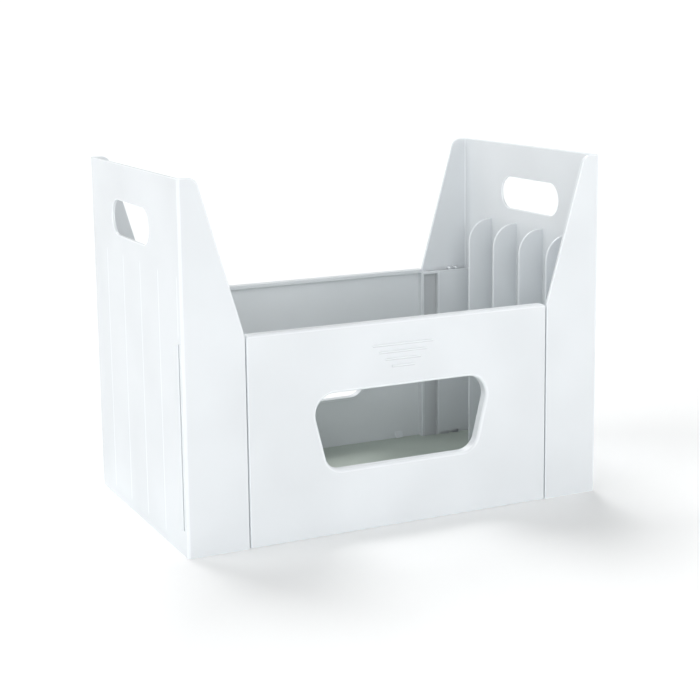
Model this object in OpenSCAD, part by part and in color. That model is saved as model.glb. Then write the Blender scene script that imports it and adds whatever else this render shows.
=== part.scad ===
// Knock-down magazine file holder: two U-shaped ends, two windowed panels and a base plate.
// Origin at the bottom centre of the box, +X along its length, -Y towards the front, +Z up.

/* [Overall] */
// Outer length, from end wall to end wall
box_len = 383; // [330:1:460]
// Outer depth, from front face to rear face
box_dep = 228; // [200:1:280]
// Height of the two ends
box_h = 300; // [280:1:340]
// Height of the front and rear panels
panel_h = 174; // [150:1:190]

/* [Walls] */
// Wall thickness of the ends and panels
wall_t = 2.5; // [2:0.1:3]
// Thickness of the base plate
floor_t = 2.5; // [2:0.1:3.5]
// Thickness of the ledges that carry the base plate
ledge_t = 2.2; // [1.8:0.1:3]
// Open seam between a panel and the flange beside it
seam_gap = 1; // [0.5:0.1:2]
// Clearance between an end and the pieces that it slides over
slide_gap = 0.4; // [0.3:0.05:0.6]
// Clearance between pieces that are clipped together
clip_gap = 0.3; // [0.2:0.05:0.5]

/* [Ends] */
// Width of the flange that wraps round onto the front and the rear
flange_w = 52; // [46:1:60]
// Width that the sloped flange edge would reach at the very top
flange_top_w = 15; // [10:1:20]
// Radius of the flange's upper corner
flange_r = 9; // [8:1:18]
// Radius of the upright outer corners
corner_r = 2.5; // [1.5:0.1:3]
// Width of the ledge along the foot of an end
end_ledge_w = 14; // [10:1:20]
// How far the hand hole and fins sit off the middle, because one moulding serves both ends
hand_shift = 6; // [0:0.5:8]

/* [Hand hole] */
// Length of the hand hole
hand_w = 98; // [80:1:110]
// Height of the hand hole
hand_h = 30; // [24:1:34]
// Height of the hand hole's centre above the foot
hand_z = 254; // [250:1:258]

/* [Fins] */
// Number of fins inside each end
fin_count = 4; // [2:1:5]
// Spacing of the fins
fin_pitch = 45; // [30:1:48]
// How far a fin stands out from the end wall
fin_depth = 25; // [24:1:30]
// Thickness of a fin
fin_t = 2; // [1.5:0.1:2.5]
// Height of a fin's top
fin_top = 226; // [180:1:230]
// Radius of a fin's rounded top corner
fin_r = 22; // [8:1:24]

/* [Panels] */
// How far the top rim reaches inwards
rim_in = 9; // [7:0.5:12]
// Thickness of the top rim
rim_t = 2.5; // [2:0.1:3]
// Height of the bead along the inner edge of the rim
bead_h = 3.4; // [3:0.1:4.5]
// Radius along the outer top edge
rim_r = 2.4; // [1:0.1:2.4]
// Radius of the panel's two upper corners
panel_r = 3; // [2:0.5:6]
// Thickness of the upright lip at each side
side_lip_t = 3; // [2:0.1:4]
// Width of the upright channel beside that lip
channel_w = 15; // [10:1:20]
// Thickness of the web at the bottom of that channel
web_t = 1.2; // [1:0.1:2]
// Thickness of the rib between the channel and the wing
rib_t = 2; // [1.5:0.1:3]
// Depth of the wing's outer face behind the panel's outer face
wing_in = 6.9; // [6.4:0.1:8]
// Thickness of the wing
wing_t = 2.1; // [1.8:0.1:2.4]
// Drop from the panel's top to the wing's top
wing_drop = 3; // [3:0.5:6]
// Height at which the wing's tongue starts
tongue_z = 22; // [15:1:40]
// Clearance at the top of the tongue
tongue_drop = 1; // [0.5:0.5:4]
// How far the tongue enters the slit in the end wall
tongue_in = 1.2; // [0.8:0.1:1.6]

/* [Window] */
// Height of the window's lower edge
win_low = 54; // [48:1:60]
// Height of the window's upper edge
win_high = 119; // [110:1:120]
// Half width of the window at its lower edge
win_half_low = 68; // [50:1:75]
// Half width of the window at its upper edge
win_half_high = 84; // [60:1:95]
// Radius of the lower corners
win_r_low = 15; // [8:1:18]
// Radius of the upper corners
win_r_high = 17; // [8:1:18]
// Thickness of the lip round the window
win_lip_t = 2.2; // [1.6:0.1:3]

/* [Grip ridges] */
// Number of raised ridges above the window
ridge_count = 4; // [2:1:5]
// Length of the top ridge
ridge_long = 56; // [40:1:70]
// How much shorter each ridge is than the one above
ridge_step = 11.5; // [6:0.5:12]
// Height of one ridge
ridge_h = 2; // [1.2:0.1:3]
// Spacing of the ridges
ridge_pitch = 6.1; // [5:0.1:7]
// Distance of the top ridge below the panel's top
ridge_drop = 20; // [16:1:22]
// How far a ridge stands proud
ridge_out = 0.8; // [0.3:0.1:1]

/* [Base] */
// Distance of each clip from the middle of the panel
clip_x = 112; // [80:1:120]
// Width of a clip
clip_w = 8; // [5:1:12]
// How far a clip reaches over the base plate
clip_in = 3; // [2:0.5:4]
// Height of a clip
clip_h = 6; // [4:1:9]
// Width of the ribs under the base plate
foot_rib_w = 3; // [2:0.5:5]
// Number of long ribs under the base plate
foot_rows = 3; // [1:2:5]
// Number of cross ribs under the base plate
foot_cols = 3; // [1:2:5]
// Length of one relief slot at the corner of the base plate
relief_l = 9.5; // [6:0.5:10]
// Width of a relief slot
relief_w = 2; // [1.5:0.5:4]

/* [Hidden] */
$fn = 64;

// Small overlap that makes cuts and joined solids meet cleanly
eps = 0.5;

panel_w = box_len - 2 * (flange_w + seam_gap);
floor_top = ledge_t + floor_t;
wing_top = panel_h - wing_drop;
tongue_top = wing_top - tongue_drop;
channel_in = wall_t + slide_gap;
wing_back = wing_in + wing_t;
panel_in = max(rim_in, wing_back);
channel_x = panel_w / 2 + channel_w;
wing_x = box_len / 2 - wall_t - slide_gap;
rail_t = 1.6;
rail_in = 5;
nub_r = 1.3;
nub_spacing = 7;
nub_from_wall = 14;
lip_in = rim_in - wall_t;
relief_bridge = 1.8;
relief_from_wing_end = 10.5;
white = [0.93, 0.95, 0.96];
shade = [0.87, 0.89, 0.90];

// Rounding helpers: each corner p has neighbours a and b and a radius r
function unit(v) = v / norm(v);
function half_angle(p, a, b) = acos(unit(a - p) * unit(b - p)) / 2;
function tangent_len(p, a, b, r) = r / tan(half_angle(p, a, b));
function corner_pts(p, a, b, r) =
    r == 0 ? [p] : [p + unit(a - p) * tangent_len(p, a, b, r), p + unit(b - p) * tangent_len(p, a, b, r)];
function corner_centre(p, a, b, r) =
    p + unit(unit(a - p) + unit(b - p)) * r / sin(half_angle(p, a, b));

// Convex outline with one true arc of the given radius at each corner
module rounded_outline(pts, radii) {
    n = len(pts);
    polygon([for (i = [0:n - 1]) each corner_pts(pts[i], pts[(i + n - 1) % n], pts[(i + 1) % n], radii[i])]);
    for (i = [0:n - 1]) {
        if (radii[i] > 0) {
            corner_sector(pts[i], pts[(i + n - 1) % n], pts[(i + 1) % n], radii[i]);
        }
    }
}

// The part of a corner's circle that lies between its two tangent points
module corner_sector(p, a, b, r) {
    centre = corner_centre(p, a, b, r);
    ends = corner_pts(p, a, b, r);
    intersection() {
        translate(centre) circle(r);
        polygon([centre, ends[0], p, ends[1]]);
    }
}

// Extrudes an X-Z outline from y = y0 to y = y0 + depth
module along_y(y0, depth) {
    translate([0, y0 + depth, 0]) rotate([90, 0, 0]) linear_extrude(depth) children();
}

// Extrudes a Y-Z outline from x = x0 to x = x0 + depth
module along_x(x0, depth) {
    translate([x0, 0, 0]) rotate([90, 0, 90]) linear_extrude(depth) children();
}

// One end, with its wall's outer face at x = 0 and the box on its +X side
module end_moulding() {
    inner_half = box_dep / 2 - wall_t;
    difference() {
        union() {
            end_shell(inner_half);
            for (i = [0:fin_count - 1]) {
                fin(hand_shift + (i - (fin_count - 1) / 2) * fin_pitch);
            }
            translate([wall_t - eps, -inner_half - eps, 0]) {
                cube([end_ledge_w + eps, 2 * (inner_half + eps), ledge_t - slide_gap]);
            }
            for (side = [-1, 1]) {
                wing_nubs(side, inner_half);
            }
            wing_rails();
        }
        hand_hole();
        tongue_slit();
    }
}

// End wall with its two sloped flanges
module end_shell(inner_half) {
    half = box_dep / 2;
    difference() {
        intersection() {
            linear_extrude(box_h) {
                rounded_outline(
                    [[0, -half], [flange_w, -half], [flange_w, half], [0, half]],
                    [corner_r, 0, 0, corner_r]
                );
            }
            along_y(-half - eps, box_dep + 2 * eps) flange_outline();
        }
        translate([wall_t, -inner_half, -eps]) {
            cube([flange_w, 2 * inner_half, box_h + 2 * eps]);
        }
    }
}

module flange_outline() {
    rounded_outline(
        [[0, 0], [flange_w, 0], [flange_w, panel_h], [flange_top_w, box_h], [0, box_h]],
        [0, 0, 0, flange_r, 0]
    );
}

module fin(y) {
    top = fin_top - floor_top - slide_gap;
    out = wall_t + fin_depth;
    translate([0, 0, floor_top + slide_gap]) along_y(y - fin_t / 2, fin_t) {
        rounded_outline(
            [[wall_t - eps, 0], [out, 0], [out, top], [wall_t - eps, top]],
            [0, 0, fin_r, 0]
        );
    }
}

module hand_hole() {
    translate([0, hand_shift, hand_z]) along_x(-eps, wall_t + 2 * eps) {
        square([hand_w - hand_h, hand_h], center = true);
        for (side = [-1, 1]) {
            translate([side * (hand_w - hand_h) / 2, 0]) circle(d = hand_h);
        }
    }
}

// Slit in the end wall that takes the tongue of the panel's wing
module tongue_slit() {
    translate([-eps, -box_dep / 2 + wing_in - clip_gap, tongue_z - tongue_drop]) {
        cube([wall_t + 2 * eps, wing_t + 2 * clip_gap, tongue_top - tongue_z + 2 * tongue_drop]);
    }
}

// Two rails inside the end wall that hold the edge of the wing without a tongue
module wing_rails() {
    reach = rail_in + slide_gap;
    for (y = [wing_in - slide_gap - rail_t, wing_back + slide_gap]) {
        translate([wall_t - eps, box_dep / 2 - y - rail_t, tongue_z]) {
            cube([reach + eps, rail_t, tongue_top - tongue_z]);
        }
    }
}

// Two small studs on the flange that stop the wing from lifting
module wing_nubs(side, inner_half) {
    for (i = [0, 1]) {
        translate([wall_t + nub_from_wall + i * nub_spacing, side * (inner_half + eps), wing_top + nub_r + clip_gap]) {
            rotate([side * 90, 0, 0]) cylinder(h = wing_back - wall_t + eps, r = nub_r);
        }
    }
}

// One panel, with its outer face at y = 0 and the box on its +Y side
module panel_moulding() {
    difference() {
        union() {
            panel_core();
            along_y(0, rim_in) window_outline(win_lip_t);
            for (side = [-1, 1]) {
                wing(side);
                clip(side * clip_x);
            }
            foot_lip();
            grip_ridges();
        }
        along_y(-eps, rim_in + 2 * eps) window_outline(0);
    }
    tongue();
}

// Outer wall, top rim and side lips, cut to the panel's outline
module panel_core() {
    half = panel_w / 2;
    intersection() {
        along_y(-eps, rim_in + 2 * eps) {
            rounded_outline(
                [[-half, 0], [half, 0], [half, panel_h], [-half, panel_h]],
                [0, 0, panel_r, panel_r]
            );
        }
        union() {
            along_x(-half, panel_w) {
                rounded_outline([[0, 0], [wall_t, 0], [wall_t, panel_h], [0, panel_h]], [0, 0, 0, rim_r]);
            }
            translate([-half, wall_t - eps, panel_h - rim_t]) {
                cube([panel_w, lip_in + eps, rim_t]);
            }
            translate([-half, rim_in - rim_t / 2, panel_h - bead_h]) {
                cube([panel_w, rim_t / 2, bead_h]);
            }
            for (x = [-half, half - side_lip_t]) {
                translate([x, wall_t - eps, 0]) cube([side_lip_t, lip_in + eps, panel_h]);
            }
        }
    }
}

// Window opening, grown outwards by g for the lip round it
module window_outline(g) {
    lean = (win_half_high - win_half_low) / (win_high - win_low);
    grow_x = g * sqrt(1 + lean * lean);
    low = win_half_low + grow_x - g * lean;
    high = win_half_high + grow_x + g * lean;
    rounded_outline(
        [[-low, win_low - g], [low, win_low - g], [high, win_high + g], [-high, win_high + g]],
        [win_r_low + g, win_r_low + g, win_r_high + g, win_r_high + g]
    );
}

// Channel, rib and wing that run behind the flange to the end wall
module wing(side) {
    foot = ledge_t;
    tall = wing_top - foot;
    mirror([side < 0 ? 1 : 0, 0, 0]) {
        translate([panel_w / 2 - eps, channel_in, foot]) {
            cube([channel_w + eps, web_t, tall]);
        }
        translate([panel_w / 2 - eps, channel_in, wing_top - rim_t]) {
            cube([channel_w + eps, panel_in - channel_in, rim_t]);
        }
        translate([channel_x - eps, channel_in, foot]) {
            cube([rib_t + eps, panel_in - channel_in, tall]);
        }
        translate([channel_x, wing_in, foot]) {
            cube([wing_x - channel_x, wing_t, tall]);
        }
    }
}

// Tongue on the wing at the -X side, which enters the slit of the left end
module tongue() {
    translate([-wing_x - slide_gap - tongue_in, wing_in, tongue_z]) {
        cube([slide_gap + tongue_in, wing_t, tongue_top - tongue_z]);
    }
}

// Ledge along the panel's foot that carries the base plate
module foot_lip() {
    translate([-panel_w / 2, wall_t - eps, 0]) {
        cube([panel_w, lip_in + eps, ledge_t]);
    }
}

// Wedge that snaps over the edge of the base plate
module clip(x) {
    low = floor_top + clip_gap;
    along_x(x - clip_w / 2, clip_w) {
        polygon([[wall_t - eps, low], [wall_t + clip_in, low], [wall_t + clip_in, low + clip_gap],
            [wall_t, low + clip_h], [wall_t - eps, low + clip_h]]);
    }
}

module grip_ridges() {
    for (i = [0:ridge_count - 1]) {
        long = ridge_long - i * ridge_step;
        z = panel_h - ridge_drop - i * ridge_pitch - ridge_h / 2;
        translate([-long / 2, -ridge_out, z]) {
            cube([long, ridge_out + eps, ridge_h]);
        }
    }
}

// Flat plate on the ledges, with a grid of ribs below it
module base_moulding() {
    wide = panel_w - 2 * (side_lip_t + clip_gap);
    deep = box_dep - 2 * (wall_t + clip_gap);
    long = box_len - 2 * (wall_t + slide_gap);
    narrow = box_dep - 2 * (panel_in + clip_gap);
    difference() {
        translate([0, 0, ledge_t + floor_t / 2]) {
            cube([wide, deep, floor_t], center = true);
            cube([long, narrow, floor_t], center = true);
        }
        relief_slots(long / 2, narrow / 2);
    }
    foot_ribs(long / 2 - end_ledge_w - 2 * slide_gap, narrow / 2);
}

// Pairs of slots at the four corners, beside the wings
module relief_slots(half_long, half_narrow) {
    for (sx = [-1, 1], sy = [-1, 1], i = [0, 1]) {
        near = half_long - relief_from_wing_end - relief_l / 2 - i * (relief_l + relief_bridge);
        translate([sx * near, sy * half_narrow, ledge_t + floor_t / 2]) {
            cube([relief_l, 2 * relief_w, floor_t + 2 * eps], center = true);
        }
    }
}

// Ribs that stiffen the plate and touch the surface below
module foot_ribs(half_long, half_deep) {
    tall = ledge_t + eps;
    for (i = [0:foot_rows - 1]) {
        y = (i - (foot_rows - 1) / 2) * 2 * half_deep / (foot_rows + 1);
        translate([-half_long, y - foot_rib_w / 2, 0]) cube([2 * half_long, foot_rib_w, tall]);
    }
    for (i = [0:foot_cols - 1]) {
        x = (i - (foot_cols - 1) / 2) * 2 * half_long / (foot_cols + 1);
        translate([x - foot_rib_w / 2, -half_deep, 0]) cube([foot_rib_w, 2 * half_deep, tall]);
    }
}

module left_end() {
    color(white) translate([-box_len / 2, 0, 0]) end_moulding();
}

// The same moulding as the left end, turned half round
module right_end() {
    color(white) rotate([0, 0, 180]) translate([-box_len / 2, 0, 0]) end_moulding();
}

module front_panel() {
    color(white) translate([0, -box_dep / 2, 0]) panel_moulding();
}

// The same moulding as the front panel, turned half round
module rear_panel() {
    color(white) rotate([0, 0, 180]) translate([0, -box_dep / 2, 0]) panel_moulding();
}

module base_panel() {
    color(shade) base_moulding();
}

left_end();
right_end();
front_panel();
rear_panel();
base_panel();
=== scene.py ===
import math

import bmesh
import bpy
from mathutils import Matrix, Vector
from mathutils.geometry import delaunay_2d_cdt


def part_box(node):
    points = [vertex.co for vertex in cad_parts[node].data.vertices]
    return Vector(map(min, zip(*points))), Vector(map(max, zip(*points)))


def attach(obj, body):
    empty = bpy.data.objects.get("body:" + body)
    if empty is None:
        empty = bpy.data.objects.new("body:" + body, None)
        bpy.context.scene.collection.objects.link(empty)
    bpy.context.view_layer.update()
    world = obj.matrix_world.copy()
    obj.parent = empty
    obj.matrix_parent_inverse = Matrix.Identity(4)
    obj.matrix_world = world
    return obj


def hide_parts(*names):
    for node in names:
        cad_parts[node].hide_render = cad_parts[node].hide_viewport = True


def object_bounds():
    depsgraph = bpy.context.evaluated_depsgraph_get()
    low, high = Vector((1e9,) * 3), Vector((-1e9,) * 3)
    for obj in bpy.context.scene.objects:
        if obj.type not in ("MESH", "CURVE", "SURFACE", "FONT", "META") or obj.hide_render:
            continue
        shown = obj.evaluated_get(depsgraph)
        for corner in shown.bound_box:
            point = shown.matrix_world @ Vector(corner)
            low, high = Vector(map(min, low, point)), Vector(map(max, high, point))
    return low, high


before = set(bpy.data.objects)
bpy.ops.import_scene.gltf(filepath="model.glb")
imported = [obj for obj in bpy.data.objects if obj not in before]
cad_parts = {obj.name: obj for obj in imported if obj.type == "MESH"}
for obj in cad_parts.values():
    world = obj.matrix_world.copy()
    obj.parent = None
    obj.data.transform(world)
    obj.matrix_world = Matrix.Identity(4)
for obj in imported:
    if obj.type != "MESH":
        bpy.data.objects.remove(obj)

bl_info = {
    "name": "Magazine File Holder",
    "version": (1, 0, 0),
    "blender": (4, 5, 0),
    "location": "View3D > Sidebar > File Holder",
    "description": "Builds a knock-down moulded file holder, its finish and a plain studio",
    "category": "Add Mesh",
}

CAD_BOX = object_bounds()
MM = 0.001
# How far forms reach into each other before they are fused
JOIN = 1.0 * MM
# Points closer than this are one point
WELD = 0.002 * MM
# Width of the flat strip that keeps a rounding crisp
HOLD = 0.6 * MM
# Widest face that counts as a strip of a rounded edge or of a fine line
STRIP = 2.2 * MM
# Radii of the lower corners of flat walls, of small upright forms and of slots
FOOT_R = 0.8 * MM
FORM_R = 0.4 * MM
SLOT_R = 0.3 * MM
# Clearance at the top of the tongues and rails
TONGUE_DROP = 1 * MM
# Length over which a sink line fades out, and how far it stops below the fin's top
SINK_FADE = 4 * MM
SINK_DROP = 1 * MM
# Edges that bend by more than this stay sharp
SHARP_ANGLE = math.radians(32)
# The second end and the second panel are the first ones turned half round
HALF_TURN = Matrix.Rotation(math.pi, 4, "Z")
# Roughness of the grained surfaces
END_ROUGHNESS = 0.40
PANEL_ROUGHNESS = 0.42
BASE_ROUGHNESS = 0.46
# Stage: floor's half size and gap, spread of the lights, camera's aim from the box's centre
FLOOR_HALF = 30
FLOOR_GAP = 0.1 * MM
LIGHT_SPREAD = math.radians(40)
CAMERA_AIM = Vector((13, 0, 32.7)) * MM
LENS_SHIFT = (-0.00897, -0.09015)


# ---------------- frame

def low_corner(node):
    """Lowest corner of a CAD node."""
    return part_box(node)[0]


def high_corner(node):
    """Highest corner of a CAD node."""
    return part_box(node)[1]


BOX_LEN = high_corner("right_end").x - low_corner("left_end").x
BOX_DEP = high_corner("left_end").y - low_corner("left_end").y
BOX_H = high_corner("left_end").z
PANEL_H = high_corner("front_panel").z
FLANGE_W = high_corner("left_end").x - low_corner("left_end").x
FLOOR_TOP = high_corner("base_panel").z


def srgb(code):
    """Linear colour from an sRGB hex value such as "#F2F4F5"."""
    parts = [int(code[i:i + 2], 16) / 255 for i in (1, 3, 5)]
    linear = [c / 12.92 if c <= 0.04045 else ((c + 0.055) / 1.055) ** 2.4 for c in parts]
    return (*linear, 1.0)


# ---------------- settings

def length_setting(name, description, default_mm, low_mm, high_mm):
    """A length property, given in millimetres and kept in metres."""
    return bpy.props.FloatProperty(
        name=name, description=description, default=default_mm * MM,
        min=low_mm * MM, max=high_mm * MM, unit="LENGTH", subtype="DISTANCE", precision=5,
    )


def count_setting(name, description, default, low, high):
    """A whole number of like features."""
    return bpy.props.IntProperty(name=name, description=description, default=default, min=low, max=high)


def angle_setting(name, description, degrees):
    """An angle property, given in degrees and kept in radians."""
    return bpy.props.FloatProperty(
        name=name, description=description, default=math.radians(degrees), unit="ROTATION", subtype="ANGLE",
    )


def colour_setting(name, description, code):
    """A colour property, given as an sRGB hex value."""
    return bpy.props.FloatVectorProperty(
        name=name, description=description, default=srgb(code), size=4,
        min=0.0, max=1.0, subtype="COLOR",
    )


class HolderWallSettings(bpy.types.PropertyGroup):
    """Sizes that every moulding shares"""
    wall: length_setting("Wall", "Wall thickness of the ends and panels", 2.5, 2, 3)
    edge: length_setting("Edge radius", "Radius of the small moulded edges", 0.5, 0.2, 0.9)
    fillet: length_setting("Fillet", "Radius of the inside corners", 1.2, 0.3, 2)
    seam: length_setting("Seam", "Open seam between a panel and a flange", 1, 0.5, 2)
    slide: length_setting("Slide gap", "Gap between an end and what it slides over", 0.4, 0.3, 0.6)
    clip: length_setting("Clip gap", "Gap between clipped pieces", 0.3, 0.2, 0.5)
    ledge: length_setting("Ledge", "Thickness of the ledges under the base", 2.2, 1.8, 3)


class HolderEndSettings(bpy.types.PropertyGroup):
    """Sizes of the two ends"""
    flange_top: length_setting("Flange top", "Flange width at the very top, before rounding", 15, 10, 20)
    flange_r: length_setting("Flange radius", "Radius of the flange's upper corner", 9, 8, 18)
    corner_r: length_setting("Corner radius", "Radius of the upright outer corners", 2.5, 1.5, 3)
    ledge_w: length_setting("Ledge width", "Width of the ledge along the foot", 14, 10, 20)
    shift: length_setting("Shift", "Offset of the hand hole and fins from the middle", 6, 0, 8)
    hand_w: length_setting("Hand hole length", "Length of the hand hole", 98, 80, 110)
    hand_h: length_setting("Hand hole height", "Height of the hand hole", 30, 24, 34)
    hand_z: length_setting("Hand hole level", "Height of the hand hole's centre", 254, 250, 258)
    fin_pitch: length_setting("Fin spacing", "Spacing of the fins", 45, 30, 48)
    fin_depth: length_setting("Fin depth", "How far a fin stands out", 25, 24, 30)
    fin_t: length_setting("Fin thickness", "Thickness of a fin", 2, 1.5, 2.5)
    fin_top: length_setting("Fin top", "Height of a fin's top", 226, 180, 230)
    fin_r: length_setting("Fin radius", "Radius of a fin's top corner", 22, 8, 24)
    sink_depth: length_setting("Sink depth", "Depth of the sink lines opposite the fins", 0.2, 0, 0.5)
    sink_half: length_setting("Sink half width", "Half width of a sink line", 1.3, 1, 4)
    fin_count: count_setting("Fins", "Number of fins in each end", 4, 2, 5)


class HolderPanelSettings(bpy.types.PropertyGroup):
    """Sizes of the front and rear panels"""
    rim_in: length_setting("Rim depth", "How far the rims reach inwards", 9, 7, 12)
    rim_t: length_setting("Rim thickness", "Thickness of the top rim", 2.5, 2, 3)
    bead_h: length_setting("Bead height", "Height of the bead along the rim's inner edge", 3.4, 3, 4.5)
    lip_t: length_setting("Side lip", "Thickness of the upright lip at each side", 3, 2, 4)
    rim_r: length_setting("Rim radius", "Radius along the outer top edge", 2.4, 1, 3)
    side_r: length_setting("Side radius", "Radius along the outer side edges", 0.8, 0.3, 2)
    corner_r: length_setting("Corner radius", "Radius of the two upper corners", 3, 2, 6)
    channel_w: length_setting("Channel width", "Width of the upright channel", 15, 10, 20)
    web_t: length_setting("Web thickness", "Thickness of the web at the bottom of the channel", 1.2, 1, 2)
    rib_t: length_setting("Rib thickness", "Thickness of the rib beside the channel", 2, 1.5, 3)
    rib_out: length_setting("Rib stand", "How far the rib stands proud of the wing", 0.8, 0, 2)
    wing_in: length_setting("Wing depth", "Depth of the wing's outer face", 6.9, 6.4, 8)
    wing_t: length_setting("Wing thickness", "Thickness of the wing", 2.1, 1.8, 2.4)
    wing_drop: length_setting("Wing drop", "Drop from the panel's top to the wing's top", 3, 3, 6)
    tongue_z: length_setting("Tongue foot", "Height at which the tongue starts", 22, 15, 40)
    tongue_in: length_setting("Tongue depth", "How far the tongue enters the slit", 1.2, 0.8, 1.6)
    win_low: length_setting("Window foot", "Height of the window's lower edge", 54, 48, 60)
    win_high: length_setting("Window top", "Height of the window's upper edge", 119, 110, 120)
    win_half_low: length_setting("Window foot half width", "Half width at the lower edge", 68, 50, 75)
    win_half_high: length_setting("Window top half width", "Half width at the upper edge", 84, 60, 95)
    win_r_low: length_setting("Window lower radius", "Radius of the lower corners", 15, 8, 18)
    win_r_high: length_setting("Window upper radius", "Radius of the upper corners", 17, 8, 18)
    win_roll: length_setting("Window roll", "Radius rolled round the window's front edge", 2.6, 0.5, 3)
    win_lip_t: length_setting("Window lip", "Thickness of the lip round the window", 2.2, 1.6, 3)
    ridge_long: length_setting("Ridge length", "Length of the top grip ridge", 56, 40, 70)
    ridge_step: length_setting("Ridge step", "How much shorter each ridge is", 11.5, 6, 12)
    ridge_h: length_setting("Ridge height", "Height of one grip ridge", 2, 1.2, 3)
    ridge_pitch: length_setting("Ridge spacing", "Spacing of the grip ridges", 6.1, 5, 7)
    ridge_drop: length_setting("Ridge drop", "Drop from the panel's top to the first ridge", 20, 16, 22)
    ridge_out: length_setting("Ridge stand", "How far a ridge stands proud", 0.8, 0.3, 1)
    ridge_count: count_setting("Ridges", "Number of grip ridges", 4, 2, 5)


class HolderBaseSettings(bpy.types.PropertyGroup):
    """Sizes of the base plate and the clips that hold it"""
    clip_x: length_setting("Clip place", "Distance of each clip from the middle", 112, 80, 120)
    clip_w: length_setting("Clip width", "Width of a clip", 8, 5, 12)
    clip_in: length_setting("Clip reach", "How far a clip reaches over the base", 3, 2, 4)
    clip_h: length_setting("Clip height", "Height of a clip", 6, 4, 9)
    rib_w: length_setting("Rib width", "Width of the ribs under the base", 3, 2, 5)
    relief_l: length_setting("Slot length", "Length of one relief slot", 9.5, 6, 10)
    relief_w: length_setting("Slot width", "Width of a relief slot", 2, 1.5, 4)
    relief_h: length_setting("Notch height", "Height of the wing's notch above the base", 1.8, 1, 3)
    rib_rows: count_setting("Rib rows", "Long ribs under the base", 3, 1, 5)
    rib_cols: count_setting("Rib columns", "Cross ribs under the base", 3, 1, 5)


class HolderFinishSettings(bpy.types.PropertyGroup):
    """Colours of the mouldings"""
    end_colour: colour_setting("Ends", "Colour of the ends", "#E0E4E7")
    panel_colour: colour_setting("Panels", "Colour of the panels", "#E0E4E7")
    base_colour: colour_setting("Base", "Colour of the base plate", "#C8D2C8")


class HolderStageSettings(bpy.types.PropertyGroup):
    """Floor, light and camera"""
    azimuth: angle_setting("Azimuth", "Direction of the camera round the box", -25.88)
    elevation: angle_setting("Elevation", "Height angle of the camera", 9.83)
    roll: angle_setting("Roll", "Tilt of the camera about its own axis", -0.654)
    distance: length_setting("Distance", "Distance of the camera from its aim", 1360, 500, 10000)
    lens: bpy.props.FloatProperty(
        name="Lens", description="Focal length in millimetres", default=78.73, min=20,
    )
    floor_colour: colour_setting("Floor", "Colour of the floor", "#FAFBFB")
    band_light: bpy.props.FloatProperty(
        name="Surround", description="Strength of the white band", default=1.1, min=0,
    )


# ---------------- outlines

class Outline:
    """A closed outline of corners, anticlockwise, each with its own radius"""

    def __init__(self, corners, radii, steps, splits=()):
        self.corners = [Vector(c) for c in corners]
        self.radii = radii
        self.steps = steps
        self.splits = sorted(splits)

    def ring(self, insets):
        """The outline's points after each side moves inwards by its own inset."""
        count = len(self.corners)
        if not hasattr(insets, "__len__"):
            insets = [insets] * count
        points = []
        for i, corner in enumerate(self.corners):
            before = (corner - self.corners[i - 1]).normalized()
            after = (self.corners[(i + 1) % count] - corner).normalized()
            points += self._corner(corner, before, after, insets[i - 1], insets[i], self.radii[i])
        return self._split(points)

    def _corner(self, corner, before, after, inset_a, inset_b, radius):
        """Points round one corner, between the side before it and the side after it."""
        side_a, side_b = Vector((-before.y, before.x)), Vector((-after.y, after.x))
        c = side_a.dot(side_b)
        moved = corner + side_a * (inset_a - c * inset_b) / (1 - c * c)
        moved += side_b * (inset_b - c * inset_a) / (1 - c * c)
        if radius == 0:
            return [moved]
        turn = math.atan2(before.x * after.y - before.y * after.x, before.dot(after))
        sign = 1 if turn > 0 else -1
        inner = max(radius - sign * max(inset_a, inset_b, key=abs), 0.0)
        start = moved - before * inner * math.tan(abs(turn) / 2)
        centre = start + side_a * inner * sign
        arm = start - centre
        steps = [turn * k / self.steps for k in range(self.steps + 1)]
        return [centre + Matrix.Rotation(a, 2) @ arm for a in steps]

    def _split(self, points):
        """Adds a point wherever a side crosses one of the split lines."""
        if not self.splits:
            return points
        result = []
        for i, a in enumerate(points):
            b = points[(i + 1) % len(points)]
            result.append(a)
            crossed = [s for s in self.splits if min(a.x, b.x) + WELD < s < max(a.x, b.x) - WELD]
            for s in crossed if b.x > a.x else reversed(crossed):
                result.append(a.lerp(b, (s - a.x) / (b.x - a.x)))
        return result


def box_outline(x0, y0, x1, y1, radius, steps=4):
    """A rectangle with the same radius at each corner."""
    return Outline([(x0, y0), (x1, y0), (x1, y1), (x0, y1)], [radius] * 4, steps)


def inside(point, loop):
    """True when the point is inside the closed loop."""
    found = False
    for i, a in enumerate(loop):
        b = loop[i - 1]
        if (a.y > point.y) != (b.y > point.y):
            found ^= point.x < a.x + (point.y - a.y) / (b.y - a.y) * (b.x - a.x)
    return found


# ---------------- mesh building

def round_over(radius, steps):
    """Profile of a quarter round from the front face to the side, as (inset, depth) pairs."""
    angles = [math.pi / 2 * k / steps for k in range(steps + 1)]
    return [(radius * (1 - math.sin(a)), radius * (1 - math.cos(a))) for a in angles]


def slab_profile(thickness, edge):
    """Profile round the side of a plain slab with rounded edges."""
    front = round_over(edge, 3)
    return front + [(inset, thickness - depth) for inset, depth in reversed(front)]


def with_hold(profile, hold):
    """Adds a narrow flat strip at both ends of a profile, so that the rounding stays crisp."""
    def wider(step):
        inset, depth = step
        return (tuple(i + hold for i in inset) if hasattr(inset, "__len__") else inset + hold, depth)
    return [wider(profile[0]), *profile, wider(profile[-1])]


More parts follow.
